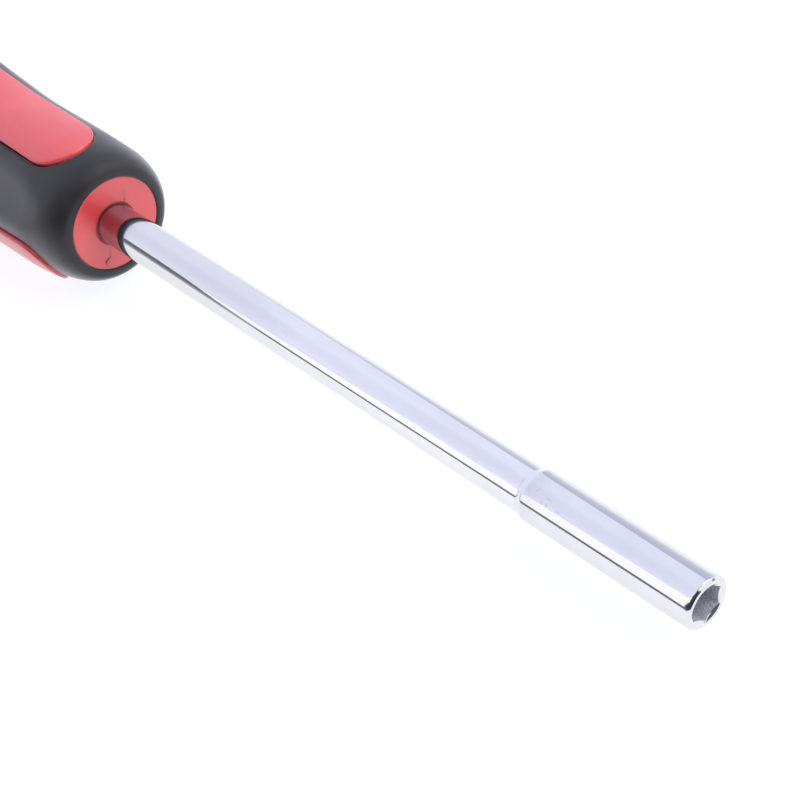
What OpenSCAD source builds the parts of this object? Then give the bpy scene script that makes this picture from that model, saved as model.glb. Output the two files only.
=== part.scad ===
// Nut driver: a chrome hexagon socket pressed on a plain round blade, in a
// hard red handle with a soft black overmould.
// Millimetres. +X runs along the blade and out of the socket mouth, +Z is up
// through the middle of the upper red rib. The origin is the centre of the
// socket mouth, so the handle lies on the -X side.

/* [Socket] */
// Width across the flats of the hexagon
hex_af = 4.8; // [4.4:0.1:5]
// Depth of the hexagon, from the mouth
hex_depth = 11; // [8:0.5:13]
// Clocking of the hexagon about the blade, degrees from +Y to the first corner
hex_clock = 20; // [0:1:60]
// Outside diameter of the socket barrel
socket_d = 7.7; // [7.4:0.1:8.4]
// Length of the socket, from the mouth to the end of its tapered shoulder
socket_len = 30; // [26:0.5:34]
// Length of the tapered shoulder
shoulder_len = 1.3; // [0.6:0.1:2]
// Height of the bevel on the outer edge of the mouth
mouth_r = 0.4; // [0.2:0.05:0.5]
// Length of the bevel on the outer edge of the mouth
mouth_len = 0.3; // [0.1:0.05:0.6]
// Radius of the conical lead-in at the mouth
lead_r = 2.95; // [2.9:0.05:3.1]
// Depth of the lead-in for each millimetre of its radius
lead_slope = 0.6; // [0.4:0.05:1]
// Diameter of the screw clearance bore behind the hexagon
clear_d = 4.5; // [4:0.1:4.6]

/* [Blade] */
// Diameter of the round blade
shaft_d = 7; // [6.6:0.1:7.2]
// Length of the blade from the handle face to the socket mouth
blade_len = 127; // [90:1:180]
// Diameter of the spigot that carries the socket
spigot_d = 5; // [4.8:0.1:5.4]
// Length of the spigot
spigot_len = 8; // [6:0.5:10]
// Length of the tang inside the handle
tang_len = 72; // [66:1:78]
// Width across each pair of forged wings
wing_w = 11; // [9:0.5:12]
// Thickness of the wings
wing_t = 3.2; // [2.4:0.2:4]
// Length of each pair of wings
wing_len = 11; // [8:1:13]

/* [Handle] */
// Length of the handle, front face to butt
handle_len = 108; // [104:1:112]
// Diameter of the bare red disc round the blade
disc_d = 16.4; // [15.6:0.2:17]
// How far the soft lip stands in front of the disc
lip = 0.25; // [0.1:0.05:0.4]
// Radius of the hollow of each flute
flute_r = 40; // [30:1:60]
// Distance from the front face to the end of the soft grip
grip_end = 88; // [87:1:90]
// Diameter of the neck that carries the end cap
cap_neck_d = 18; // [16:0.5:19]

/* [Ribs] */
// Number of red ribs, with a flute between each two
ribs = 3; // [3]
// Distance from the front face to the nose of each rib
rib_front = 5.2; // [5.2:0.1:6]
// Distance from the front face to the rear end of each rib
rib_rear = 82; // [81.7:0.1:82.3]
// Half width of the ribs, and the radius of their ends
rib_half = 6; // [5.8:0.1:6.2]
// How far the ribs stand above the soft skin
rib_rise = 0.6; // [0.2:0.1:0.8]

/* [Hidden] */
$fn = 96;
eps = 0.01;
hex_rc = hex_af / 2 / cos(30);
core_start = 4;
core_end = handle_len - 11;
cap_bore_end = handle_len - 10;
flute_axis = 13 + flute_r;

// Stations of the handle on the lobes: [distance behind the front face, radius]
lobe = [[0, 9.8], [0.7, 10.4], [1.4, 10.85], [2.8, 11.4], [4.4, 11.8],
        [6.8, 12.18], [10.4, 12.57], [18, 12.8], [26, 13], [36, 13.8],
        [48, 15], [60, 15.6], [70, 15.6], [80, 14.9], [88, 13.9]];
// Stations of the bottom of the flutes between the lobes
valley = [[3.2, 13.6], [5.3, 12.33], [8.3, 11.95], [15.2, 11.73], [23.6, 11.6], [31, 11.8],
          [41.8, 12.48], [53.8, 13.12], [64.9, 13.35], [75, 13.5], [82.3, 14.1], [90.2, 15.6]];
// Stations of the hard shell under the soft skin
under = [[3, disc_d / 2], [4.6, 9.2], [10.2, 9.95], [18, 9.9], [26, 9.8],
         [36, 10.3], [48, 11.1], [60, 11.6], [70, 11.7], [80, 11.6], [88, 11.3]];
// Stations of the first-shot core
heart = [[core_start, 6.4], [12, 7.4], [24, 7.4], [40, 8.2],
         [60, 9], [78, 8.4], [core_end, 7]];

// Cubic through neighbouring stations, so that the skin has no corners
function tangent(t, i) = i == 0 ? (t[1] - t[0]) :
    i == len(t) - 1 ? (t[i] - t[i - 1]) : (t[i + 1] - t[i - 1]);
function slope(t, i) = tangent(t, i)[1] / tangent(t, i)[0];
function blend(t, i, u) = let (h = t[i + 1][0] - t[i][0])
    [t[i][0] + h * u,
     (2 * u * u * u - 3 * u * u + 1) * t[i][1]
     + (u * u * u - 2 * u * u + u) * h * slope(t, i)
     + (3 * u * u - 2 * u * u * u) * t[i + 1][1]
     + (u * u * u - u * u) * h * slope(t, i + 1)];
function steps(t, i, pitch) = max(1, round((t[i + 1][0] - t[i][0]) / pitch));
function smooth(t, pitch) = concat([t[0]],
    [for (i = [0 : len(t) - 2]) let (n = steps(t, i, pitch))
        for (k = [1 : n]) blend(t, i, k / n)]);

// Stations as profile points: [radius, distance behind the front face]
function profile(t, pitch, more = 0) = [for (q = smooth(t, pitch)) [q[1] + more, q[0]]];

// Soft step from one profile point to another, level at both ends
function step(p, q, n) =
    [for (k = [0 : n]) let (u = k / n)
        [p[0] + (q[0] - p[0]) * u * u * (3 - 2 * u), p[1] + (q[1] - p[1]) * u]];

// Moves to the handle's front face and points the height backwards, with the
// radius of a profile along +Z
module at_handle() {
    translate([-blade_len, 0, 0]) rotate([0, -90, 0]) children();
}

// Plain round bar along X between two places
module bar(x0, x1, d) {
    translate([x0, 0, 0]) rotate([0, 90, 0]) cylinder(h = x1 - x0, d = d);
}

// One hollow flute for each gap between the lobes
module flutes() {
    at_handle() for (k = [0 : ribs - 1]) rotate(180 + k * 360 / ribs)
        translate([flute_axis, 0, 0]) rotate_extrude()
            polygon(concat([[0, valley[0][0]]],
                [for (p = profile(valley, 12)) [flute_axis - p[0], p[1]]],
                [[0, valley[len(valley) - 1][0]]]));
}

// Turned outer form on the lobes, with the soft lip round the disc
module lobe_form(more) {
    at_handle() rotate_extrude()
        polygon(concat([[0, 0], [disc_d / 2 + 0.1, 0], [disc_d / 2 + 0.4, -lip],
                        [disc_d / 2 + 0.9, -lip]],
                       profile(lobe, 4, more), [[0, grip_end]]));
}

// Straight-sided outlines of the ribs, round at both ends
module rib_cuts() {
    at_handle() for (k = [0 : ribs - 1]) rotate(k * 360 / ribs)
        translate([30, 0, 0]) rotate([0, -90, 0]) linear_extrude(height = 30) {
            translate([rib_front + rib_half, 0]) circle(r = rib_half);
            translate([rib_rear - rib_half, 0]) circle(r = rib_half);
            translate([rib_front + rib_half, -rib_half])
                square([rib_rear - rib_front - 2 * rib_half, 2 * rib_half]);
        }
}

// Hard shell under the soft skin, without the ribs
module shell_form() {
    at_handle() rotate_extrude()
        polygon(concat([[0, 0], [disc_d / 2, 0]], profile(under, 6),
                       [[cap_neck_d / 2, grip_end], [cap_neck_d / 2, cap_bore_end],
                        [0, cap_bore_end]]));
}

// First-shot core with its keying grooves
module core_form() {
    difference() {
        at_handle() rotate_extrude()
            polygon(concat([[0, core_start]], profile(heart, 6), [[0, core_end]]));
        at_handle() for (d = [18, 30, 42, 54, 66, 78, 90])
            translate([0, 0, d]) rotate_extrude()
                translate([6.4 + d / 60, 0]) square([4, 2]);
    }
}

// Blade with its socket spigot and the forged tang
module blade_form() {
    bar(-socket_len, -socket_len + spigot_len, spigot_d);
    bar(-blade_len - tang_len + 1, -socket_len, shaft_d);
    translate([-blade_len - tang_len, 0, 0]) rotate([0, 90, 0])
        cylinder(h = 1, d1 = shaft_d - 2, d2 = shaft_d);
    for (d = [16, 50])
        translate([-blade_len - d - wing_len, -wing_w / 2, -wing_t / 2])
            cube([wing_len, wing_w, wing_t]);
}

// Hexagon socket: bevelled mouth, conical lead-in, hexagon, clearance bore,
// the bore that is pressed on the spigot, and a tapered shoulder
module nut_socket() {
    color([0.86, 0.87, 0.92]) difference() {
        rotate([0, -90, 0]) rotate_extrude()
            polygon(concat([[0, 0], [socket_d / 2 - mouth_r, 0], [socket_d / 2, mouth_len]],
                step([socket_d / 2, socket_len - shoulder_len],
                     [shaft_d / 2 + 0.03, socket_len], 8),
                [[0, socket_len]]));
        rotate([hex_clock, 0, 0]) rotate([0, -90, 0]) rotate(90)
            translate([0, 0, -1]) cylinder(h = hex_depth + 1, r = hex_rc, $fn = 6);
        rotate([0, -90, 0]) translate([0, 0, -eps])
            cylinder(h = lead_slope * (lead_r - hex_af / 2 + 0.2) + eps,
                     r1 = lead_r + eps / lead_slope, r2 = hex_af / 2 - 0.2);
        bar(-socket_len + spigot_len - eps, -hex_depth + eps, clear_d);
        bar(-socket_len - 1, -socket_len + spigot_len, spigot_d);
    }
}

// Round chrome blade: spigot in front, plain bar, winged tang behind
module blade() {
    color([0.82, 0.83, 0.88]) blade_form();
}

// First-shot core moulded round the tang
module inner_core() {
    color([0.25, 0.25, 0.27]) difference() {
        core_form();
        blade_form();
    }
}

// Hard red shell: the front disc, the body and the raised ribs
module handle_shell() {
    color([0.82, 0.16, 0.17]) difference() {
        union() {
            shell_form();
            intersection() {
                lobe_form(rib_rise);
                rib_cuts();
            }
        }
        core_form();
        bar(-blade_len - cap_bore_end - 1, -blade_len - core_end + eps, 2 * 7);
        bar(-blade_len - core_start - eps, -blade_len + 2, shaft_d);
    }
}

// Soft black skin: front bulb, fluted sides and rear band in one moulding
module soft_grip() {
    color([0.16, 0.16, 0.18]) difference() {
        lobe_form(0);
        flutes();
        shell_form();
        rib_cuts();
    }
}

// Domed end cap pressed on the rear neck of the shell
module end_cap() {
    color([0.82, 0.16, 0.17]) difference() {
        at_handle() translate([0, 0, grip_end]) rotate_extrude()
            polygon(concat([[0, 0]],
                [for (k = [0 : 17]) let (a = 90 * k / 18)
                    [lobe[len(lobe) - 1][1] * pow(cos(a), 0.7), (handle_len - grip_end) * sin(a)]],
                [[0, handle_len - grip_end]]));
        bar(-blade_len - cap_bore_end, -blade_len - grip_end + 1, cap_neck_d);
    }
}

nut_socket();
blade();
inner_core();
handle_shell();
soft_grip();
end_cap();
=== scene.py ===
import math

import bmesh
import bpy
from mathutils import Matrix, Vector


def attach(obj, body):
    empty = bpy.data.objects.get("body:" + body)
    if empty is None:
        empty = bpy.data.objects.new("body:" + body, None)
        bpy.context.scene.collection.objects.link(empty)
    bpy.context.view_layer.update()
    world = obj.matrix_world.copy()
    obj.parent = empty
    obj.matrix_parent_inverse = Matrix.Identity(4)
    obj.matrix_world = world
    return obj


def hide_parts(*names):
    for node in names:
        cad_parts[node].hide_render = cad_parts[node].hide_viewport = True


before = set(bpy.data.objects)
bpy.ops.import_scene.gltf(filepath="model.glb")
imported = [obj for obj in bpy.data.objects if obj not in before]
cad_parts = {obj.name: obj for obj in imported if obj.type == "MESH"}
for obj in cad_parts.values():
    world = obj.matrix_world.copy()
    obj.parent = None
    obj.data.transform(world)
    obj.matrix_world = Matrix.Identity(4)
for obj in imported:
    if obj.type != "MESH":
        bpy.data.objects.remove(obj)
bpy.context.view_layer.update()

MM = 0.001

# ---------------------------------------------------------------- dimensions
# Millimetres, the same numbers as the CAD. Distances along the handle are
# measured backwards from its front face.
HEX_AF, HEX_DEPTH, HEX_CLOCK = 4.8, 11.0, 20.0
SOCKET_R, SOCKET_LEN, LEAD_R, LEAD_SLOPE, CLEAR_R = 3.85, 30.0, 2.95, 0.6, 2.25
MOUTH_R, MOUTH_LEN, SHOULDER_LEN = 0.4, 0.3, 1.3
SHAFT_R, BLADE_LEN, SPIGOT_R, SPIGOT_LEN, TANG_LEN = 3.5, 127.0, 2.5, 8.0, 72.0
WING_W, WING_T, WING_LEN, WING_AT = 11.0, 3.2, 11.0, (16.0, 50.0)
HANDLE_LEN, DISC_R, GRIP_END, NECK_R = 108.0, 8.2, 88.0, 9.0
RIB_FRONT, RIB_REAR, RIB_HALF, RIB_RISE = 5.2, 82.0, 6.0, 0.6
RIB_AT = (90.0, 210.0, 330.0)
FLUTE_AXIS = 53.0

LOBE = [(0, 9.8), (0.7, 10.4), (1.4, 10.85), (2.8, 11.4), (4.4, 11.8), (6.8, 12.18),
        (10.4, 12.57), (18, 12.8), (26, 13), (36, 13.8), (48, 15), (60, 15.6),
        (70, 15.6), (80, 14.9), (88, 13.9)]
VALLEY = [(3.2, 13.6), (5.3, 12.33), (8.3, 11.95), (15.2, 11.73), (23.6, 11.6), (31, 11.8),
          (41.8, 12.48), (53.8, 13.12), (64.9, 13.35), (75, 13.5), (82.3, 14.1), (90.2, 15.6)]
UNDER = [(3, 8.2), (4.6, 9.2), (10.2, 9.95), (18, 9.9), (26, 9.8), (36, 10.3), (48, 11.1),
         (60, 11.6), (70, 11.7), (80, 11.6), (88, 11.3)]
HEART = [(4, 6.4), (12, 7.4), (24, 7.4), (40, 8.2), (60, 9), (78, 8.4), (97, 7)]


def along(table, d):
    """Cubic through the stations of a table."""
    n = len(table)

    def slope(i):
        a, b = max(i - 1, 0), min(i + 1, n - 1)
        return (table[b][1] - table[a][1]) / (table[b][0] - table[a][0])

    if d <= table[0][0]:
        return table[0][1] + slope(0) * (d - table[0][0])
    if d >= table[-1][0]:
        return table[-1][1] + slope(n - 1) * (d - table[-1][0])
    i = max(k for k in range(n - 1) if table[k][0] <= d)
    h = table[i + 1][0] - table[i][0]
    u = (d - table[i][0]) / h
    return ((2 * u**3 - 3 * u**2 + 1) * table[i][1] + (u**3 - 2 * u**2 + u) * h * slope(i)
            + (3 * u**2 - 2 * u**3) * table[i + 1][1] + (u**3 - u**2) * h * slope(i + 1))


def skin(d, deg):
    """Radius of the soft skin: round lobes with a hollow flute between each two."""
    lobe = along(LOBE, d)
    k = math.radians((deg - 270.0 + 60.0) % 120.0 - 60.0)
    rho = FLUTE_AXIS - along(VALLEY, d)
    q = rho * rho - (FLUTE_AXIS * math.sin(k)) ** 2
    if q <= 0:
        return lobe
    r = FLUTE_AXIS * math.cos(k) - math.sqrt(q)
    w = 0.7
    h = max(0.0, min(1.0, 0.5 + 0.5 * (r - lobe) / w))
    return r * (1 - h) + lobe * h - w * h * (1 - h)


def at(x, deg, r):
    """A point at a place along X, an angle from +Y towards +Z and a radius."""
    a = math.radians(deg)
    return (x * MM, r * math.cos(a) * MM, r * math.sin(a) * MM)


def behind(d, deg, r):
    """The same, at a distance behind the handle's front face."""
    return at(-BLADE_LEN - d, deg, r)


class Shape:
    """Vertices and faces of one piece, put together loop by loop."""

    def __init__(self):
        self.v, self.f = [], []

    def loop(self, points):
        start = len(self.v)
        self.v += points
        return list(range(start, len(self.v)))

    def bridge(self, a, b, closed=True):
        n = len(a)
        for i in range(n if closed else n - 1):
            j = (i + 1) % n
            self.f.append((a[i], a[j], b[j], b[i]))

    def chain(self, loops, closed=True, around=False):
        for a, b in zip(loops, loops[1:]):
            self.bridge(a, b, closed)
        if around:
            self.bridge(loops[-1], loops[0], closed)

    def cap(self, loop, point):
        c = self.loop([point])[0]
        n = len(loop)
        for i in range(n):
            self.f.append((loop[i], loop[(i + 1) % n], c))

    def piece(self, name, material, node, sharp=32.0):
        me = bpy.data.meshes.new(name)
        me.from_pydata(self.v, [], self.f)
        bm = bmesh.new()
        bm.from_mesh(me)
        bmesh.ops.remove_doubles(bm, verts=bm.verts[:], dist=3e-7)
        bmesh.ops.dissolve_degenerate(bm, dist=1e-8, edges=bm.edges[:])
        bmesh.ops.recalc_face_normals(bm, faces=bm.faces[:])
        bm.to_mesh(me)
        bm.free()
        me.polygons.foreach_set("use_smooth", [True] * len(me.polygons))
        me.set_sharp_from_angle(angle=math.radians(sharp))
        me.materials.append(material)
        ob = bpy.data.objects.new(name, me)
        bpy.context.scene.collection.objects.link(ob)
        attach(ob, "root")
        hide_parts(node)
        return ob


def turned(shape, profile, angles, place):
    """One loop for each profile point (distance, radius or radius by angle)."""
    return [shape.loop([place(d, t, r(t) if callable(r) else r) for t in angles])
            for d, r in profile]


# ----------------------------------------------------------------- materials
def material(name):
    m = bpy.data.materials.new(name)
    m.use_nodes = True
    t = m.node_tree
    t.nodes.clear()
    out = t.nodes.new("ShaderNodeOutputMaterial")
    bsdf = t.nodes.new("ShaderNodeBsdfPrincipled")
    t.links.new(bsdf.outputs[0], out.inputs[0])
    tc = t.nodes.new("ShaderNodeTexCoord")
    mm = t.nodes.new("ShaderNodeMapping")
    mm.inputs["Scale"].default_value = (1000, 1000, 1000)
    t.links.new(tc.outputs["Object"], mm.inputs["Vector"])
    return m, t, bsdf, mm.outputs[0]


def stretched(t, vector, scale):
    n = t.nodes.new("ShaderNodeMapping")
    n.inputs["Scale"].default_value = scale
    t.links.new(vector, n.inputs["Vector"])
    return n.outputs[0]


def noise(t, vector, scale, detail=3.0, rough=0.55, distort=0.0):
    n = t.nodes.new("ShaderNodeTexNoise")
    n.inputs["Scale"].default_value = scale
    n.inputs["Detail"].default_value = detail
    n.inputs["Roughness"].default_value = rough
    n.inputs["Distortion"].default_value = distort
    t.links.new(vector, n.inputs["Vector"])
    return n.outputs[0]


def ranged(t, value, a, b, c, d, smooth=False):
    n = t.nodes.new("ShaderNodeMapRange")
    n.clamp = True
    n.interpolation_type = "SMOOTHSTEP" if smooth else "LINEAR"
    for i, x in enumerate((a, b, c, d)):
        n.inputs[i + 1].default_value = x
    t.links.new(value, n.inputs[0])
    return n.outputs[0]


def sums(t, op, a, b=None, clamp=False):
    n = t.nodes.new("ShaderNodeMath")
    n.operation = op
    n.use_clamp = clamp
    for i, x in enumerate((a, b)):
        if x is None:
            continue
        if isinstance(x, (int, float)):
            n.inputs[i].default_value = x
        else:
            t.links.new(x, n.inputs[i])
    return n.outputs[0]


def mixed(t, factor, a, b):
    n = t.nodes.new("ShaderNodeMix")
    n.data_type = "RGBA"
    if isinstance(factor, (int, float)):
        n.inputs[0].default_value = factor
    else:
        t.links.new(factor, n.inputs[0])
    for i, x in ((6, a), (7, b)):
        if isinstance(x, tuple):
            n.inputs[i].default_value = x + (1.0,)
        else:
            t.links.new(x, n.inputs[i])
    return n.outputs[2]


def bumped(t, height, distance, normal=None, strength=1.0):
    n = t.nodes.new("ShaderNodeBump")
    n.inputs["Strength"].default_value = strength
    n.inputs["Distance"].default_value = distance
    t.links.new(height, n.inputs["Height"])
    if normal is not None:
        t.links.new(normal, n.inputs["Normal"])
    return n.outputs[0]


def parts_of(t, vector):
    n = t.nodes.new("ShaderNodeSeparateXYZ")
    t.links.new(vector, n.inputs[0])
    return n.outputs


def valued(t, factor, a, b):
    n = t.nodes.new("ShaderNodeMix")
    n.data_type = "FLOAT"
    t.links.new(factor, n.inputs[0])
    for i, x in ((2, a), (3, b)):
        if isinstance(x, (int, float)):
            n.inputs[i].default_value = x
        else:
            t.links.new(x, n.inputs[i])
    return n.outputs[0]


def vectors(t, op, a, b=None, scale=None):
    n = t.nodes.new("ShaderNodeVectorMath")
    n.operation = op
    for i, x in ((0, a), (1, b), (3, scale)):
        if x is None:
            continue
        if isinstance(x, (tuple, list, int, float)):
            n.inputs[i].default_value = x
        else:
            t.links.new(x, n.inputs[i])
    return n.outputs["Value" if op in ("DOT_PRODUCT", "LENGTH") else "Vector"]


def shaken(t, vector, scale, by):
    """A place moved about by noise, so that marks drawn there have ragged edges."""
    n = t.nodes.new("ShaderNodeTexNoise")
    n.inputs["Scale"].default_value = scale
    n.inputs["Detail"].default_value = 3.0
    t.links.new(vector, n.inputs["Vector"])
    off = vectors(t, "SUBTRACT", n.outputs["Color"], (0.5, 0.5, 0.5))
    return vectors(t, "ADD", vector, vectors(t, "SCALE", off, scale=by))


def stroke(t, vector, points, half):
    """A mark along a line of points, 1 in its middle and 0 beyond its half width."""
    best = None
    for a, b in zip(points, points[1:]):
        ab = tuple(q - p for p, q in zip(a, b))
        away = vectors(t, "SUBTRACT", vector, a)
        h = sums(t, "MULTIPLY", vectors(t, "DOT_PRODUCT", away, ab), 1.0 / sum(k * k for k in ab), clamp=True)
        near = vectors(t, "LENGTH", vectors(t, "SUBTRACT", away, vectors(t, "SCALE", ab, scale=h)))
        mark = ranged(t, near, half * 0.2, half, 1.0, 0.0, True)
        best = mark if best is None else sums(t, "MAXIMUM", best, mark)
    return best


def chrome(name, socket):
    m, t, b, mm = material(name)
    haze = noise(t, mm, 0.22, 4.0, 0.6)
    lines = noise(t, stretched(t, mm, (0.12, 5.0, 5.0)), 1.0, 3.0, 0.6)
    pits = noise(t, mm, 3.2, 2.0, 0.5)
    x, y, z = parts_of(t, mm)
    tone = mixed(t, ranged(t, haze, 0.35, 0.68, 0, 1), (0.805, 0.805, 0.815), (0.77, 0.772, 0.79))
    rough = sums(t, "ADD", ranged(t, haze, 0.3, 0.7, 0.035, 0.075), ranged(t, lines, 0.45, 0.75, 0.0, 0.035))
    if socket:
        # rubbed edge and a few scratches beside the shoulder, where the socket is gripped
        shy = shaken(t, mm, 2.4, 0.35)
        marks = stroke(t, shy, [(-27.2, -1.5, 3.54), (-26.9, -1.1, 3.68)], 0.24)
        for line in ([(-25.4, -1.7, 3.46), (-24.6, -1.75, 3.43)], [(-25.7, -2.4, 3.02), (-25.6, -2.6, 2.85)],
                     [(-24.9, -2.4, 3.0), (-24.6, -2.5, 2.95)], [(-23.1, -2.5, 2.92), (-22.5, -2.4, 3.0)],
                     [(-26.6, 1.2, -3.65), (-26.0, 1.1, -3.68)], [(-26.4, 3.3, -1.9), (-25.9, 3.45, -1.6)],
                     [(-26.6, 3.15, 2.2), (-26.0, 3.2, 2.1)]):
            marks = sums(t, "MAXIMUM", marks, stroke(t, shy, line, 0.22))
        cloud = noise(t, mm, 0.9, 5.0, 0.7, 0.6)
        marks = sums(t, "MULTIPLY", marks, ranged(t, noise(t, mm, 3.0, 3.0, 0.7), 0.42, 0.6, 0.0, 1.0))
        rubbed = sums(t, "MULTIPLY", ranged(t, x, -28.6, -25.4, 1.0, 0.0, True), ranged(t, cloud, 0.36, 0.62, 0.35, 1.0))
        rubbed = sums(t, "MULTIPLY", rubbed, ranged(t, x, -28.95, -28.55, 0.0, 1.0))
        tone = mixed(t, sums(t, "MULTIPLY", rubbed, 0.55), tone, (0.62, 0.63, 0.68))
        tone = mixed(t, sums(t, "MULTIPLY", marks, 0.5), tone, (0.46, 0.465, 0.52))
        rough = sums(t, "ADD", rough, sums(t, "ADD", sums(t, "MULTIPLY", rubbed, 0.04), sums(t, "MULTIPLY", marks, 0.1)))
        # inside of the hexagon, left as it was broached: dull grey with specks, with painted shade towards -Y
        out = vectors(t, "LENGTH", stretched(t, mm, (0.0, 1.0, 1.0)))
        deep = sums(t, "SUBTRACT", sums(t, "MULTIPLY", out, LEAD_SLOPE), sums(t, "ADD", x, LEAD_SLOPE * LEAD_R))
        inner = sums(t, "MULTIPLY", ranged(t, out, 2.86, 2.92, 1.0, 0.0), ranged(t, deep, 0.09, 0.16, 0.0, 1.0))
        speck = noise(t, mm, 4.5, 4.0, 0.7)
        dull = mixed(t, ranged(t, speck, 0.36, 0.60, 0, 1), (0.30, 0.305, 0.345), (0.66, 0.67, 0.73))
        # painted shade: the inside is drawn darker towards -Y
        dull = mixed(t, ranged(t, y, -1.2, 1.6, 0.45, 0.0), dull, (0.30, 0.305, 0.35))
        tone = mixed(t, inner, tone, dull)
        rough = valued(t, inner, rough, ranged(t, speck, 0.3, 0.7, 0.5, 0.38))
        pits = sums(t, "ADD", pits, sums(t, "MULTIPLY", sums(t, "MULTIPLY", speck, inner), 12.0))
        t.links.new(ranged(t, inner, 0.0, 1.0, 1.0, 0.12), b.inputs["Metallic"])
    else:
        # handled more toward the handle, so a little duller there, with faint smudges along the bar
        smear = noise(t, stretched(t, mm, (0.06, 0.35, 0.35)), 1.0, 3.0, 0.6)
        tone = mixed(t, ranged(t, x, -98.0, -74.0, 0.0, 1.0, True), (0.765, 0.762, 0.765), (0.835, 0.835, 0.84))
        tone = mixed(t, ranged(t, smear, 0.42, 0.68, 0.0, 0.55), tone, (0.735, 0.735, 0.75))
        # painted shade: beside the handle the chrome is drawn darker and bluer, so its reflections there look shaded
        tone = mixed(t, ranged(t, x, -124.0, -117.5, 1.0, 0.0, True), tone, (0.42, 0.46, 0.52))
        b.inputs["Metallic"].default_value = 1.0
    t.links.new(tone, b.inputs["Base Color"])
    t.links.new(rough, b.inputs["Roughness"])
    n1 = bumped(t, noise(t, mm, 0.45, 2.0, 0.5), 0.0000022)
    n2 = bumped(t, lines, 0.0000005, n1)
    t.links.new(bumped(t, pits, 0.0000005, n2), b.inputs["Normal"])
    return m


# traces of moulding on the front disc, as (sideways, up) places: a nick above the
# blade, and a seam below it that ends in a curl of flash; the nick and the seam carry painted shade
NICK = [(2.62, 2.85), (2.86, 3.3), (2.95, 3.85), (2.97, 4.5)]
SEAM = [(-2.1, -3.3), (-2.45, -4.05), (-2.68, -4.75), (-2.76, -5.3)]
CURL = [(-2.72, -5.28), (-3.2, -5.52), (-3.65, -5.68), (-3.88, -5.98), (-3.82, -6.32), (-3.66, -6.62)]


def red_plastic(name):
    m, t, b, mm = material(name)
    cloud = noise(t, mm, 0.16, 3.0, 0.5)
    grain = noise(t, mm, 9.0, 2.0, 0.6)
    flow = noise(t, stretched(t, mm, (0.08, 0.7, 0.7)), 1.0, 3.0, 0.5)
    tone = mixed(t, ranged(t, cloud, 0.35, 0.65, 0, 1), (0.640, 0.044, 0.049), (0.685, 0.053, 0.058))
    tone = mixed(t, ranged(t, grain, 0.55, 0.8, 0.0, 0.18), tone, (0.51, 0.036, 0.040))
    shy = shaken(t, mm, 2.0, 0.4)

    def on_disc(line):
        return [(-BLADE_LEN, y, z) for y, z in line]

    # painted shade in the nick, darkest where it meets the blade
    tone = mixed(t, sums(t, "MULTIPLY", stroke(t, shy, on_disc(NICK), 0.62), 0.42), tone, (0.36, 0.06, 0.05))
    tone = mixed(t, sums(t, "MULTIPLY", stroke(t, shy, on_disc(NICK[:2]), 0.3), 0.7), tone, (0.16, 0.015, 0.016))
    # painted shadow along the seam's ridge
    tone = mixed(t, sums(t, "MULTIPLY", stroke(t, shy, on_disc(SEAM), 0.34), 0.55), tone, (0.30, 0.02, 0.022))
    tone = mixed(t, sums(t, "MULTIPLY", stroke(t, shy, on_disc(CURL), 0.36), 0.4), tone, (0.25, 0.012, 0.015))
    t.links.new(tone, b.inputs["Base Color"])
    t.links.new(sums(t, "ADD", ranged(t, flow, 0.3, 0.7, 0.31, 0.38), ranged(t, grain, 0.3, 0.7, -0.02, 0.05)),
                b.inputs["Roughness"])
    b.inputs["Specular IOR Level"].default_value = 1.0
    b.inputs["Coat Weight"].default_value = 0.6
    b.inputs["Coat Roughness"].default_value = 0.25
    n1 = bumped(t, flow, 0.000006)
    t.links.new(bumped(t, grain, 0.0000018, n1), b.inputs["Normal"])
    return m


def black_rubber(name):
    m, t, b, mm = material(name)
    cloud = noise(t, mm, 0.2, 4.0, 0.6)
    grain = noise(t, mm, 6.5, 2.0, 0.65)
    fine = noise(t, mm, 15.0, 1.0, 0.5)
    tone = mixed(t, ranged(t, cloud, 0.35, 0.68, 0, 1), (0.0150, 0.0147, 0.0180), (0.0205, 0.0202, 0.0245))
    tone = mixed(t, ranged(t, fine, 0.62, 0.78, 0.0, 0.4), tone, (0.028, 0.027, 0.033))
    t.links.new(tone, b.inputs["Base Color"])
    t.links.new(sums(t, "ADD", ranged(t, cloud, 0.3, 0.7, 0.34, 0.42), ranged(t, grain, 0.3, 0.7, -0.02, 0.04)),
                b.inputs["Roughness"])
    b.inputs["Specular IOR Level"].default_value = 0.36
    b.inputs["Sheen Weight"].default_value = 0.85
    b.inputs["Sheen Roughness"].default_value = 0.38
    b.inputs["Sheen Tint"].default_value = (0.95, 0.95, 1.0, 1.0)
    n1 = bumped(t, grain, 0.0000045)
    t.links.new(bumped(t, fine, 0.0000018, n1), b.inputs["Normal"])
    return m


def core_plastic(name):
    m, t, b, mm = material(name)
    cloud = noise(t, mm, 0.3, 4.0, 0.6)
    grain = noise(t, mm, 7.0, 2.0, 0.6)
    t.links.new(mixed(t, ranged(t, cloud, 0.35, 0.65, 0, 1), (0.05, 0.05, 0.055), (0.075, 0.075, 0.08)),
                b.inputs["Base Color"])
    t.links.new(ranged(t, grain, 0.3, 0.7, 0.45, 0.6), b.inputs["Roughness"])
    t.links.new(bumped(t, grain, 0.000005), b.inputs["Normal"])
    return m


CHROME_SOCKET = chrome("chrome_socket_finish", True)
CHROME_BLADE = chrome("chrome_blade_finish", False)
RED = red_plastic("red_plastic_finish")
BLACK = black_rubber("black_rubber_finish")
CORE = core_plastic("core_plastic_finish")


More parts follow.
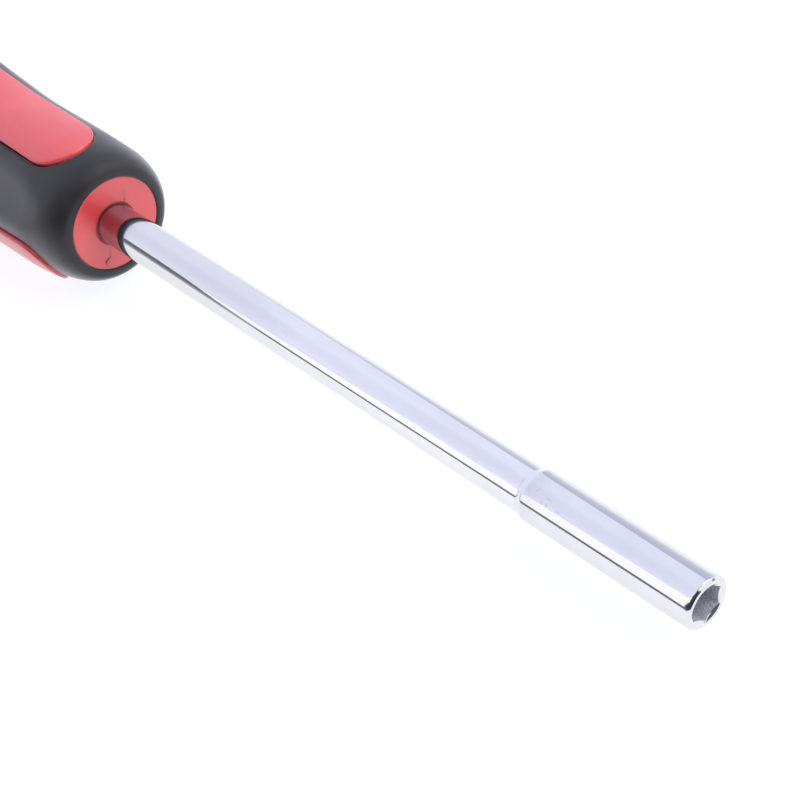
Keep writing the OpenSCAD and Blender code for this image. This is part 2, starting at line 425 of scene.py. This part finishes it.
# -------------------------------------------------------------------- socket
def build_socket():
    s = Shape()
    angles = [HEX_CLOCK + 360.0 * i / 240 for i in range(240)]

    def hexagon(t):
        return HEX_AF / 2 / math.cos(math.radians((t - HEX_CLOCK) % 60.0 - 30.0))

    loops = []

    def ring(x, r):
        loops.append(s.loop([at(-(x(t) if callable(x) else x), t, r(t) if callable(r) else r)
                             for t in angles]))

    def edge(u):
        """A place on the rounded edge between a flat of the hexagon and the lead-in, u from 0 to 1."""
        a, b, c = (1 - u) ** 2, 2 * u * (1 - u), u * u

        def depth(t):
            return LEAD_SLOPE * (LEAD_R - hexagon(t)) + a * 0.12 - c * LEAD_SLOPE * 0.10

        def radius(t):
            return hexagon(t) + c * 0.10
        return depth, radius

    def corner(a, b, c):
        """A small rounding from a to c about the corner b, as (depth, radius) places."""
        for k in range(5):
            u = k / 4
            ring(*((1 - u) ** 2 * p + 2 * u * (1 - u) * q + u * u * r for p, q, r in zip(a, b, c)))

    # hexagon from its floor up to the lead-in, whose cone leaves a scallop on each flat
    for k in (1.0, 0.7, 0.45, 0.25, 0.12):
        ring(HEX_DEPTH * k, hexagon)
    for u in (0.0, 0.25, 0.5, 0.75, 1.0):
        ring(*edge(u))
    corner((LEAD_SLOPE * 0.05, LEAD_R - 0.05), (0.0, LEAD_R), (0.0, LEAD_R + 0.05))
    # flat front ring, and the bevel of the outer edge with its corners a little worn
    r = SOCKET_R - MOUTH_R
    k = math.hypot(MOUTH_LEN, MOUTH_R)
    ux, ur = MOUTH_LEN / k, MOUTH_R / k
    corner((0.0, r - 0.05), (0.0, r), (0.05 * ux, r + 0.05 * ur))
    corner((MOUTH_LEN - 0.06 * ux, SOCKET_R - 0.06 * ur), (MOUTH_LEN, SOCKET_R), (MOUTH_LEN + 0.08, SOCKET_R))
    for x in (1.0, 3.0, 8.0, 14.0, 20.0, 25.0, 28.0):
        ring(x, SOCKET_R)
    # shoulder: a soft step down to the blade
    drop = SOCKET_R - SHAFT_R - 0.01
    for k in range(17):
        u = k / 16
        ring(SOCKET_LEN - SHOULDER_LEN + (SHOULDER_LEN - 0.005) * u, SOCKET_R - drop * u * u * (3 - 2 * u))
    ring(SOCKET_LEN, SHAFT_R - 0.005)
    ring(SOCKET_LEN, SPIGOT_R + 0.01)
    ring(SOCKET_LEN - SPIGOT_LEN, SPIGOT_R + 0.01)
    ring(SOCKET_LEN - SPIGOT_LEN, CLEAR_R)
    ring(HEX_DEPTH + 0.4, CLEAR_R)
    ring(HEX_DEPTH, CLEAR_R + 0.1)
    s.chain(loops, around=True)
    return s.piece("socket_barrel_chrome", CHROME_SOCKET, "nut_socket", 40.0)


# --------------------------------------------------------------------- blade
def build_blade():
    s = Shape()
    angles = [360.0 * i / 240 for i in range(240)]

    def wings(t):
        c, q = abs(math.cos(math.radians(t))), abs(math.sin(math.radians(t)))
        flat = min(WING_W / 2 / max(c, 1e-6), WING_T / 2 / max(q, 1e-6))
        return max(SHAFT_R, flat)

    loops = []

    def ring(x, r):
        loops.append(s.loop([at(x, t, r(t) if callable(r) else r) for t in angles]))

    x0 = -SOCKET_LEN + SPIGOT_LEN
    ring(x0, SPIGOT_R - 0.3)
    ring(x0 - 0.3, SPIGOT_R)
    ring(-SOCKET_LEN - 0.005, SPIGOT_R)
    ring(-SOCKET_LEN - 0.005, SHAFT_R - 0.02)
    ring(-SOCKET_LEN - 0.025, SHAFT_R)
    for x in (-40.0, -60.0, -80.0, -100.0, -115.0, -BLADE_LEN):
        ring(x, SHAFT_R)
    for d in WING_AT:
        ring(-BLADE_LEN - d, SHAFT_R)
        ring(-BLADE_LEN - d, wings)
        ring(-BLADE_LEN - d - WING_LEN, wings)
        ring(-BLADE_LEN - d - WING_LEN, SHAFT_R)
    ring(-BLADE_LEN - TANG_LEN + 1.0, SHAFT_R)
    ring(-BLADE_LEN - TANG_LEN, SHAFT_R - 1.0)
    s.chain(loops)
    s.cap(loops[0], at(x0, 0, 0))
    s.cap(loops[-1], at(-BLADE_LEN - TANG_LEN, 0, 0))
    return s.piece("blade_bar_chrome", CHROME_BLADE, "blade", 30.0)


# -------------------------------------------------------------------- handle
NS, NC, NF = 44, 8, 48
NE = 2 * NC + NF
DF, DR = 3.0, 86.0
ROUND = [30.0 + 2.5 * i for i in range(144)]
RIB_A, RIB_B = RIB_FRONT + RIB_HALF, RIB_REAR - RIB_HALF


def rib_outline(e):
    """Outline of a rib grown by e, as (distance, sideways) points."""
    h = RIB_HALF + e
    span = RIB_B - RIB_A
    out = [(RIB_A + span * i / NS, h) for i in range(NS)]
    out += [(RIB_B + h * math.sin(math.pi * i / NE), h * math.cos(math.pi * i / NE)) for i in range(NE)]
    out += [(RIB_B - span * i / NS, -h) for i in range(NS)]
    out += [(RIB_A - h * math.sin(math.pi * i / NE), -h * math.cos(math.pi * i / NE)) for i in range(NE)]
    return out


def sector_outline():
    """Outline of a third of the handle, point for point with a rib outline, as (distance, degrees)."""
    span = RIB_B - RIB_A
    out = [(RIB_A + span * i / NS, 60.0) for i in range(NS)]
    out += [(RIB_B + (DR - RIB_B) * i / NC, 60.0) for i in range(NC)]
    out += [(DR, 60.0 - 120.0 * i / NF) for i in range(NF)]
    out += [(DR - (DR - RIB_B) * i / NC, -60.0) for i in range(NC)]
    out += [(RIB_B - span * i / NS, -60.0) for i in range(NS)]
    out += [(RIB_A - (RIB_A - DF) * i / NC, -60.0) for i in range(NC)]
    out += [(DF, -60.0 + 120.0 * i / NF) for i in range(NF)]
    out += [(DF + (RIB_A - DF) * i / NC, 60.0) for i in range(NC)]
    return out


SECTOR = sector_outline()


def turned_to(outline, radius):
    """Sideways places as degrees on a radius."""
    return [(d, math.degrees(math.asin(max(-1.0, min(1.0, w / radius(d)))))) for d, w in outline]


def between(inner, t):
    return [(a[0] + (b[0] - a[0]) * t, a[1] + (b[1] - a[1]) * t) for a, b in zip(inner, SECTOR)]


def lobe_r(d):
    return along(LOBE, d)


def under_r(d):
    return along(UNDER, d)


def build_grip():
    s = Shape()
    edge_r = 0.28
    for mid in RIB_AT:
        def skin_loop(flat, drop=0.0):
            return s.loop([behind(d, mid + g, skin(d, mid + g) - drop) for d, g in flat])

        def under_loop(flat):
            return s.loop([behind(d, mid + g, under_r(d) + 0.01) for d, g in flat])

        edge = turned_to(rib_outline(0.0), lobe_r)
        outer = [under_loop(edge)]
        for k in range(6):
            a = math.radians(90.0 * k / 5)
            outer.append(skin_loop(turned_to(rib_outline(edge_r * (1 - math.cos(a))), lobe_r),
                                   edge_r * (1 - math.sin(a))))
        wide = turned_to(rib_outline(0.55), lobe_r)
        outer.append(skin_loop(wide))
        for t in (0.05, 0.11, 0.18, 0.26, 0.34, 0.42, 0.5, 0.58, 0.66, 0.74, 0.82, 0.91, 1.0):
            outer.append(skin_loop(between(wide, t)))
        s.chain(outer)
        inner = [outer[0]] + [under_loop(between(edge, t)) for t in (0.2, 0.4, 0.6, 0.8, 1.0)]
        s.chain(inner)
    # front bulb, soft lip and the wall against the disc
    front = [(d, lobe_r(d)) for d in (DF, 2.6, 2.2, 1.8, 1.4, 1.05, 0.75, 0.5)]
    front += [(0.30, 10.05), (0.15, 9.89), (0.03, 9.71), (-0.06, 9.51), (-0.125, 9.29), (-0.175, 9.05), (-0.21, 8.8),
              (-0.225, 8.6), (-0.215, 8.47), (-0.17, 8.36), (-0.10, 8.28), (-0.02, 8.235), (0.05, 8.22), (0.15, 8.21),
              (DF, under_r(DF) + 0.01)]
    s.chain(turned(s, front, ROUND, behind))
    # rear edge beside the end cap
    rear = [(DR, lobe_r(DR)), (86.7, lobe_r(86.7)), (87.3, lobe_r(87.3)), (87.6, lobe_r(87.6) - 0.02),
            (87.8, lobe_r(87.8) - 0.08), (87.93, lobe_r(87.93) - 0.2), (87.99, lobe_r(88) - 0.36),
            (87.99, under_r(87.99) + 0.01), (DR, under_r(DR) + 0.01)]
    s.chain(turned(s, rear, ROUND, behind))
    return s.piece("soft_grip_rubber", BLACK, "soft_grip", 50.0)


def disc_relief(y, z):
    """How far the disc's face stands out at a place: two traces of the mould's parting line."""
    def ridge(line, half, high):
        best = 1e9
        for (ax, ay), (bx, by) in zip(line, line[1:]):
            dx, dy = bx - ax, by - ay
            u = max(0.0, min(1.0, ((y - ax) * dx + (z - ay) * dy) / (dx * dx + dy * dy)))
            best = min(best, math.hypot(y - ax - u * dx, z - ay - u * dy))
        return high * math.exp(-(best / half) ** 2)

    return ridge(NICK, 0.34, -0.018) + ridge(SEAM, 0.24, 0.05) + ridge(CURL, 0.26, -0.05)


def build_shell():
    s = Shape()
    edge_r = 0.32
    for mid in RIB_AT:
        def under_loop(flat):
            return s.loop([behind(d, mid + g, under_r(d) - 0.01) for d, g in flat])

        def rib_loop(e, drop):
            out = rib_outline(e)
            flat = turned_to(out, lambda d: lobe_r(d) + RIB_RISE)
            return s.loop([behind(d, mid + g, lobe_r(d) + RIB_RISE - drop) for d, g in flat])

        edge = turned_to(rib_outline(-0.04), lambda d: lobe_r(d) + RIB_RISE)
        loops = [under_loop(between(edge, t)) for t in (1.0, 0.75, 0.5, 0.25, 0.0)]
        for k in range(7):
            a = math.radians(90.0 * k / 6)
            loops.append(rib_loop(-0.04 - edge_r * (1 - math.cos(a)), edge_r * (1 - math.sin(a))))
        for e in (-0.7, -1.2, -1.9, -2.7, -3.5, -4.3, -5.1, -5.6, -5.85):
            loops.append(rib_loop(e, 0.0))
        s.chain(loops)
        last = loops[-1]
        n = len(last)
        for i in range(NS):
            s.f.append((last[i], last[i + 1], last[(2 * NS + NE - i - 1) % n], last[(2 * NS + NE - i) % n]))
        s.f.append(tuple(last[NS:NS + NE + 1]))
        s.f.append(tuple(last[2 * NS + NE:]) + (last[0],))
    # front: rim, the flat disc with its parting line, and the bore round the blade
    rim = [(DF, under_r(DF) - 0.01), (0.5, 8.195), (0.08, 8.19), (0.03, 8.175), (0.008, 8.15), (0.0, 8.11)]
    loops = turned(s, rim, ROUND, behind)
    fine = ROUND
    r = 7.8
    while r > 4.0:
        ring = []
        for t in fine:
            a = math.radians(t)
            ring.append(behind(-disc_relief(r * math.cos(a), r * math.sin(a)), t, r))
        loops.append(s.loop(ring))
        r -= 0.16
    bore = [(0.0, 3.92), (0.02, 3.85), (0.06, 3.79), (0.14, 3.72), (0.22, 3.66), (0.27, 3.60), (0.28, 3.52), (4.0, 3.52)]
    bore += [(d, along(HEART, d) + 0.01) for d in (4.0, 8.0, 12.0, 18.0, 24.0, 32.0, 40.0, 50.0, 60.0, 69.0, 78.0, 88.0, 97.0)]
    bore += [(98.0, 7.01), (98.0, NECK_R - 0.4), (97.6, NECK_R - 0.01), (88.0, NECK_R - 0.01),
             (88.0, under_r(88) - 0.01), (DR, under_r(DR) - 0.01)]
    loops += turned(s, bore, ROUND, behind)
    s.chain(loops)
    # a curl of moulding flash at the lower end of the parting line
    tube = []
    for i, (y, z) in enumerate(CURL):
        p, q = CURL[max(i - 1, 0)], CURL[min(i + 1, len(CURL) - 1)]
        ty, tz = q[0] - p[0], q[1] - p[1]
        k = math.hypot(ty, tz)
        ny, nz = -tz / k, ty / k
        w = (0.10, 0.16, 0.19, 0.16, 0.11, 0.05)[i]
        h = (0.08, 0.15, 0.20, 0.18, 0.13, 0.07)[i]
        tube.append(s.loop([((-BLADE_LEN + 0.02 - 0.06 + h * (0.5 + 0.5 * math.sin(2 * math.pi * m / 12))) * MM,
                             (y + ny * w * math.cos(2 * math.pi * m / 12)) * MM,
                             (z + nz * w * math.cos(2 * math.pi * m / 12)) * MM) for m in range(12)]))
    s.chain(tube)
    s.f.append(tuple(reversed(tube[0])))
    s.f.append(tuple(tube[-1]))
    return s.piece("red_handle_shell", RED, "handle_shell", 40.0)


def build_cap():
    s = Shape()
    loops = []
    span = HANDLE_LEN - GRIP_END
    prof = [(88.01, NECK_R + 0.01), (88.01, 13.4), (88.03, 13.55), (88.10, 13.70), (88.22, 13.80), (88.4, 13.85)]
    for k in range(2, 45):
        a = math.radians(90.0 * k / 45)
        prof.append((GRIP_END + span * math.sin(a), 13.9 * math.cos(a) ** 0.7))
    loops = turned(s, prof, ROUND, behind)
    # small gate mark left by moulding, in the middle of the dome
    gate = [(107.97, 1.1), (107.93, 0.9), (107.85, 0.75), (107.83, 0.4)]
    loops += turned(s, gate, ROUND, behind)
    s.chain(loops)
    s.cap(loops[-1], behind(107.83, 0, 0))
    inner = turned(s, [(88.01, NECK_R + 0.01), (98.0, NECK_R + 0.01)], ROUND, behind)
    s.chain(inner)
    s.cap(inner[-1], behind(98.0, 0, 0))
    return s.piece("end_cap_red", RED, "end_cap", 40.0)


build_socket()
build_blade()
build_grip()
build_shell()
build_cap()

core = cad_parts["inner_core"]
core.data.materials.clear()
core.data.materials.append(CORE)

# --------------------------------------------------------------------- stage
# The tool lies on the flutes' shoulders behind the bulb and at the belly, so
# the floor leans a little under it.
TILT = math.atan((13.95 - 12.05) / 52.0)


def floor_z(x):
    return -12.15 + (x + 137.0) * math.tan(TILT)


def mesh_object(name, verts, faces, mat):
    me = bpy.data.meshes.new(name)
    me.from_pydata([tuple(c * MM for c in p) for p in verts], [], faces)
    me.materials.append(mat)
    ob = bpy.data.objects.new(name, me)
    bpy.context.scene.collection.objects.link(ob)
    return ob


# a pale floor lit from below, a little dimmer far behind the tool
m, t, b, mm = material("floor_finish")
soft = noise(t, mm, 0.02, 2.0, 0.5)
t.links.new(mixed(t, ranged(t, soft, 0.3, 0.7, 0, 1), (0.15, 0.15, 0.15), (0.145, 0.145, 0.145)), b.inputs["Base Color"])
b.inputs["Roughness"].default_value = 0.9
b.inputs["Specular IOR Level"].default_value = 0.0
fy = parts_of(t, mm)[1]
glow = mixed(t, ranged(t, fy, 15.0, 140.0, 0, 1), (0.895, 0.90, 0.945), (0.815, 0.82, 0.87))
glow = mixed(t, ranged(t, fy, 140.0, 700.0, 0, 1), glow, (0.73, 0.74, 0.79))
t.links.new(glow, b.inputs["Emission Color"])
b.inputs["Emission Strength"].default_value = 1.0
W = 4000.0
mesh_object("floor", [(x, y, floor_z(x)) for x, y in ((-W, -W), (W, -W), (W, W), (-W, W))], [(0, 1, 2, 3)], m)


def flag(name, posts, colours, lift=-14.0):
    """A row of low studio flags over the floor, seen only in reflections; colours as (height, colour)."""
    fm = bpy.data.materials.new(name + "_finish")
    fm.use_nodes = True
    ft = fm.node_tree
    ft.nodes.clear()
    out = ft.nodes.new("ShaderNodeOutputMaterial")
    em = ft.nodes.new("ShaderNodeEmission")
    em.inputs[0].default_value = colours[0][1] + (1.0,)
    if len(colours) > 1:
        place = ft.nodes.new("ShaderNodeTexCoord")
        high = parts_of(ft, place.outputs["Object"])[2]
        tone = colours[0][1]
        for (h0, c0), (h1, c1) in zip(colours, colours[1:]):
            tone = mixed(ft, ranged(ft, high, h0 * MM, h1 * MM, 0.0, 1.0), tone, c1)
        ft.links.new(tone, em.inputs[0])
    ft.links.new(em.outputs[0], out.inputs[0])
    verts = [p for x, y, top in posts for p in ((x, y, floor_z(x) + lift), (x, y, top))]
    ob = mesh_object(name, verts, [(2 * i, 2 * i + 2, 2 * i + 3, 2 * i + 1) for i in range(len(posts) - 1)], fm)
    ob.visible_camera = False
    ob.visible_diffuse = False
    ob.visible_shadow = False
    ob.visible_transmission = False
    ob.visible_volume_scatter = False


def arc(places, top):
    """Posts round the mouth, from (azimuth, distance) places."""
    return [(r * math.cos(math.radians(a)), r * math.sin(math.radians(a)), top) for a, r in places]


flag("flag_low", [(120, -130, 14), (-48, -91, 6.6), (-54, -89, 6.4), (-65, -83, 5.0), (-86, -72, 2.3), (-102, -64, -0.4),
                  (-121, -63, -1.6), (-134, -62, -1.0), (-140, -62, -0.2)], [(0, (0.18, 0.18, 0.21))], 1.7)
flag("flag_root", [(-140, -62, -0.2), (-144, -62, 0.8), (-150, -63, 2.6), (-157, -64.5, 6.5), (-164, -67, 12.0), (-171, -69.5, 16.0),
                   (-185, -75, 21.5), (-205, -84, 26.5), (-240, -101, 33)],
     [(-13.0, (0.74, 0.74, 0.80)), (-5.0, (0.41, 0.41, 0.46)), (2.5, (0.235, 0.235, 0.275)), (9.0, (0.18, 0.18, 0.215))])
flag("flag_mouth", arc(((300, 40), (315, 34), (325, 29), (335, 27), (345, 27), (352, 28)), 5.0), [(0, (0.045, 0.045, 0.055))])
flag("flag_side", arc(((345, 19), (352, 19.5), (360, 22), (370, 26), (380, 28.5), (390, 29), (400, 29)), 2.0),
     [(0, (0.13, 0.13, 0.155))])
flag("flag_spot", arc(((47, 60), (56, 60)), 7.0), [(0, (0.40, 0.40, 0.43))])

# World: a lavender tent overhead, a white panel on the near side, a greyer wall
# behind and the dark of the room on the camera's side, seen only in reflections and as soft light.
world = bpy.data.worlds.new("studio")
bpy.context.scene.world = world
world.use_nodes = True
wt = world.node_tree
wt.nodes.clear()
wout = wt.nodes.new("ShaderNodeOutputWorld")
bg = wt.nodes.new("ShaderNodeBackground")
wt.links.new(bg.outputs[0], wout.inputs[0])
tc = wt.nodes.new("ShaderNodeTexCoord")
way = tc.outputs["Generated"]
dx, dy, dz = parts_of(wt, way)
az = sums(wt, "MULTIPLY", sums(wt, "ARCTAN2", dy, dx), 180.0 / math.pi)
az = sums(wt, "MODULO", sums(wt, "ADD", az, 360.0), 360.0)
LAVENDER, WHITE = (0.925, 0.94, 1.135), (1.22, 1.22, 1.25)


def toward(azimuth, elevation, full, none):
    """1 within an angle of a direction, and 0 beyond another."""
    a, e = math.radians(azimuth), math.radians(elevation)
    c = vectors(wt, "DOT_PRODUCT", way, (math.cos(e) * math.cos(a), math.cos(e) * math.sin(a), math.sin(e)))
    return ranged(wt, c, math.cos(math.radians(none)), math.cos(math.radians(full)), 0.0, 1.0, True)


# wall behind: greyer upwards, and its edge leans from azimuth 135 at the floor to 124 at 39 degrees up
fade = sums(wt, "EXPONENT", sums(wt, "MULTIPLY", sums(wt, "MAXIMUM", dz, 0.0), -4.5))
wall = mixed(wt, fade, (0.545, 0.57, 0.745), (0.86, 0.89, 0.985))
wall = mixed(wt, ranged(wt, dz, 0.55, 0.75, 0.0, 1.0), wall, LAVENDER)
front = mixed(wt, ranged(wt, az, 92.0, 108.0, 0.0, 1.0), (1.08, 1.08, 1.12), wall)
s1 = sums(wt, "SUBTRACT", az, sums(wt, "SUBTRACT", 134.8, sums(wt, "MULTIPLY", dz, 16.6)))
tent = mixed(wt, ranged(wt, s1, -0.6, 0.6, 0.0, 1.0), front, LAVENDER)
# the top of the tent is dimmer
tent = mixed(wt, ranged(wt, dz, 0.915, 0.965, 0.0, 1.0, True), tent, (0.50, 0.50, 0.60))
# one bay of the tent is a little dimmer than the rest
tent = mixed(wt, toward(203.0, 46.0, 3.0, 27.0), tent, (0.865, 0.878, 1.07))
# a white panel on the near side and a lamp behind on the far side
s2 = sums(wt, "SUBTRACT", az, sums(wt, "ADD", 220.0, sums(wt, "MULTIPLY", dz, 28.0)))
panel = sums(wt, "MULTIPLY", ranged(wt, s2, -0.8, 0.8, 0.0, 1.0), ranged(wt, dz, 0.75, 0.80, 1.0, 0.0))
panel = sums(wt, "MULTIPLY", panel, ranged(wt, az, 250.0, 253.0, 1.0, 0.0))
tent = mixed(wt, panel, tent, WHITE)
tent = mixed(wt, toward(64.0, 50.0, 12.0, 24.0), tent, (1.9, 1.9, 1.95))
# the dark of the room on the camera's side, from azimuth 244 round to 20
turn = sums(wt, "MODULO", sums(wt, "ADD", az, 180.0), 360.0)
s3 = sums(wt, "SUBTRACT", turn, ranged(wt, dz, 0.42, 0.52, 64.6, 68.0))
s4 = sums(wt, "SUBTRACT", turn, ranged(wt, dz, 0.0, 0.35, 200.0, 184.0))
room = sums(wt, "MULTIPLY", ranged(wt, s3, -0.7, 0.7, 0.0, 1.0), ranged(wt, s4, -2.0, 2.0, 1.0, 0.0))
room = sums(wt, "MULTIPLY", room, ranged(wt, dz, 0.80, 0.96, 1.0, 0.0, True))
tent = mixed(wt, room, tent, (0.055, 0.055, 0.07))
lp = wt.nodes.new("ShaderNodeLightPath")
wt.links.new(mixed(wt, lp.outputs["Is Camera Ray"], tent, (1.0, 1.0, 1.0)), bg.inputs[0])
bg.inputs[1].default_value = 1.0

sun = bpy.data.lights.new("key", "SUN")
sun.energy = 1.7
sun.angle = math.radians(60)
key = bpy.data.objects.new("key", sun)
key.rotation_euler = Vector((0.45, 0.40, 0.80)).to_track_quat("Z", "Y").to_euler()
key.visible_glossy = False
bpy.context.scene.collection.objects.link(key)

low = bpy.data.lights.new("fill", "SUN")
low.energy = 0.5
low.angle = math.radians(60)
fill = bpy.data.objects.new("fill", low)
fill.rotation_euler = Vector((0.80, -0.50, 0.32)).to_track_quat("Z", "Y").to_euler()
fill.visible_glossy = False
bpy.context.scene.collection.objects.link(fill)

# -------------------------------------------------------------------- camera
right = Vector((0.66558, 0.73002, -0.15517))
down = Vector((0.42636, -0.54257, -0.72376))
forward = Vector((-0.61255, 0.41556, -0.67238))
cam_data = bpy.data.cameras.new("camera")
cam_data.sensor_width = 36.0
cam_data.lens = 80.63
cam_data.clip_start = 0.005
cam_data.clip_end = 50.0
cam = bpy.data.objects.new("camera", cam_data)
up, back = -down, -forward
cam.matrix_world = Matrix(((right.x, up.x, back.x, 0.098195),
                           (right.y, up.y, back.y, -0.104654),
                           (right.z, up.z, back.z, 0.170788),
                           (0, 0, 0, 1)))
bpy.context.scene.collection.objects.link(cam)
bpy.context.scene.camera = cam

bpy.context.scene.view_settings.view_transform = "Standard"
bpy.context.scene.view_settings.look = "None"
bpy.context.scene.view_settings.exposure = 0.0
bpy.context.scene.view_settings.gamma = 1.0
